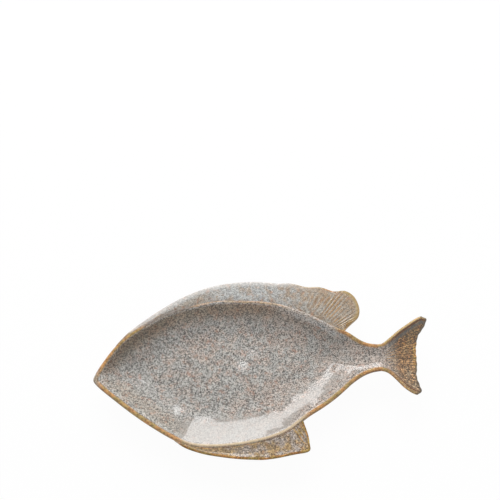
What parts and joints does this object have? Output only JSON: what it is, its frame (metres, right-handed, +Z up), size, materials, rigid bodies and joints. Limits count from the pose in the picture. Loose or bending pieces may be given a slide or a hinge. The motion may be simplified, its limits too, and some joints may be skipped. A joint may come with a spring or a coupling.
{
  "type": "fish shaped platter",
  "caption": "Shallow serving platter in the outline of a fish, with a sloped almond well, finned rim flanges, a forked fan tail and a foot ring.",
  "frame": {"origin": "middle of the platter's outline, on the surface that the foot ring stands on", "axes": "+X from the nose to the tail, +Y towards the back fin, +Z up out of the well"},
  "size_m": [0.4007, 0.2278, 0.0377],
  "materials": {
    "dish_glaze": "glossy speckled grey-beige reactive glaze that breaks to amber along the rim",
    "back_fin_glaze": "glossy pale blue-grey reactive glaze that breaks to amber over the rays and the edge",
    "belly_fin_glaze": "glossy reactive glaze, broken to amber and olive over the rays and the edge",
    "tail_glaze": "glossy reactive glaze, broken to amber and brown over the rays and the edges",
    "bare_clay": "unglazed fired stoneware, matte and slightly gritty",
    "pooled_glaze": "thick glossy speckled glaze pooled on the floor of the well"
  },
  "bodies": {
    "root": {"dish_body": "dish_glaze", "back_fin": "back_fin_glaze", "belly_fin": "belly_fin_glaze", "tail_fin": "tail_glaze", "foot_ring": "bare_clay", "well_glaze": "pooled_glaze"}
  },
  "joints": []
}
